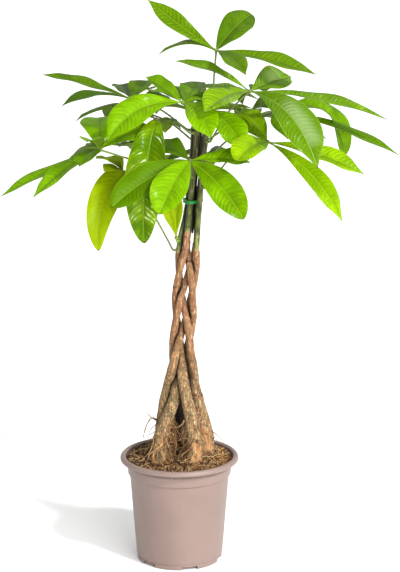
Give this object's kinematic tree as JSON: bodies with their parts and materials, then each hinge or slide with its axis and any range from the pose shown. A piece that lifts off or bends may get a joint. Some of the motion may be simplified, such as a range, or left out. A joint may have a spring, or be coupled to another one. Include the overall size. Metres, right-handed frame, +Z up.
{
  "type": "potted money tree",
  "caption": "Money tree with braided stems in a tapered plastic nursery pot full of soil, tied under a wide crown of long-stalked palmate leaves.",
  "frame": {"origin": "middle of the pot's flat foot, on the surface that the pot stands on", "axes": "+Z up the trunk, -Y toward the viewer of the picture, +X to that viewer's right"},
  "size_m": [0.5524, 0.3803, 0.8035],
  "materials": {
    "pot_plastic": "satin",
    "potting_soil": "matte",
    "bark": "matte",
    "green_stem": "satin",
    "tie_plastic": "satin",
    "leaf_green": "satin",
    "leaf_dark": "gloss",
    "leaf_yellow": "satin"
  },
  "bodies": {
    "root": {"pot": "pot_plastic", "soil": "potting_soil", "stem_1": "bark", "stem_2": "bark", "stem_3": "bark", "stem_4": "bark", "stem_5": "bark", "shoot_1": "green_stem", "shoot_2": "green_stem", "shoot_3": "green_stem", "shoot_4": "green_stem", "shoot_5": "green_stem", "tie": "tie_plastic", "leaf_top": "leaf_green", "leaf_right_high": "leaf_green", "leaf_right_back": "leaf_green", "leaf_left_high": "leaf_green", "leaf_right_low": "leaf_green", "leaf_middle": "leaf_green", "leaf_left_back": "leaf_green", "leaf_left_low": "leaf_green", "leaf_front": "leaf_green", "leaf_left_hanging": "leaf_dark", "leaf_left_yellow": "leaf_yellow", "leaf_back_left": "leaf_green", "leaf_back_middle": "leaf_green", "leaf_back_right": "leaf_green", "leaf_back_low": "leaf_green", "leaf_left_back_low": "leaf_green", "leaf_young": "leaf_yellow"}
  },
  "joints": []
}
